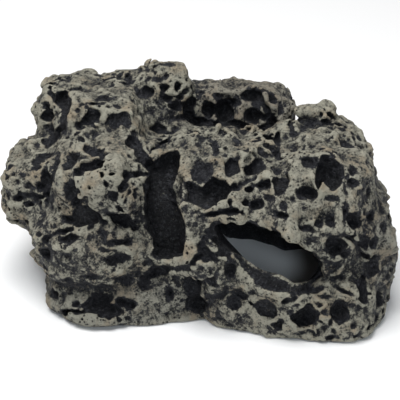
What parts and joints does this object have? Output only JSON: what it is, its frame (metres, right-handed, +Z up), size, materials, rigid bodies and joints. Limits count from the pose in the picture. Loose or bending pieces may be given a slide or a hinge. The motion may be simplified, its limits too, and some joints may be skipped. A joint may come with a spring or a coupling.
{
  "type": "resin cave ornament",
  "caption": "Hollow, bottomless rockwork cave of bonded cast rocks with a slanting slit entrance, for an aquarium floor.",
  "frame": {"origin": "on the floor the rim stands on, under the middle of the bounding box", "axes": "+Z up, -Y towards the slit entrance in the front, +X to the right seen from the front"},
  "size_m": [0.2198, 0.137, 0.1126],
  "materials": {
    "brushed_rock": "matte",
    "shaded_rock": "matte",
    "dark_rock": "matte"
  },
  "bodies": {
    "root": {"left_base_ledge": "shaded_rock", "front_sill_rock": "brushed_rock", "left_lower_boulder": "brushed_rock", "left_upper_boulder": "brushed_rock", "front_arch_rock": "brushed_rock", "right_boulder": "brushed_rock", "right_end_rock": "shaded_rock", "left_side_rock": "brushed_rock", "top_knob_left": "brushed_rock", "top_knob_right": "brushed_rock", "crown_rock": "brushed_rock", "rear_ridge_rock": "dark_rock", "left_top_ledge": "brushed_rock", "left_rear_slab": "brushed_rock", "rear_left_wall_rock": "shaded_rock", "rear_right_wall_rock": "shaded_rock"}
  },
  "joints": []
}
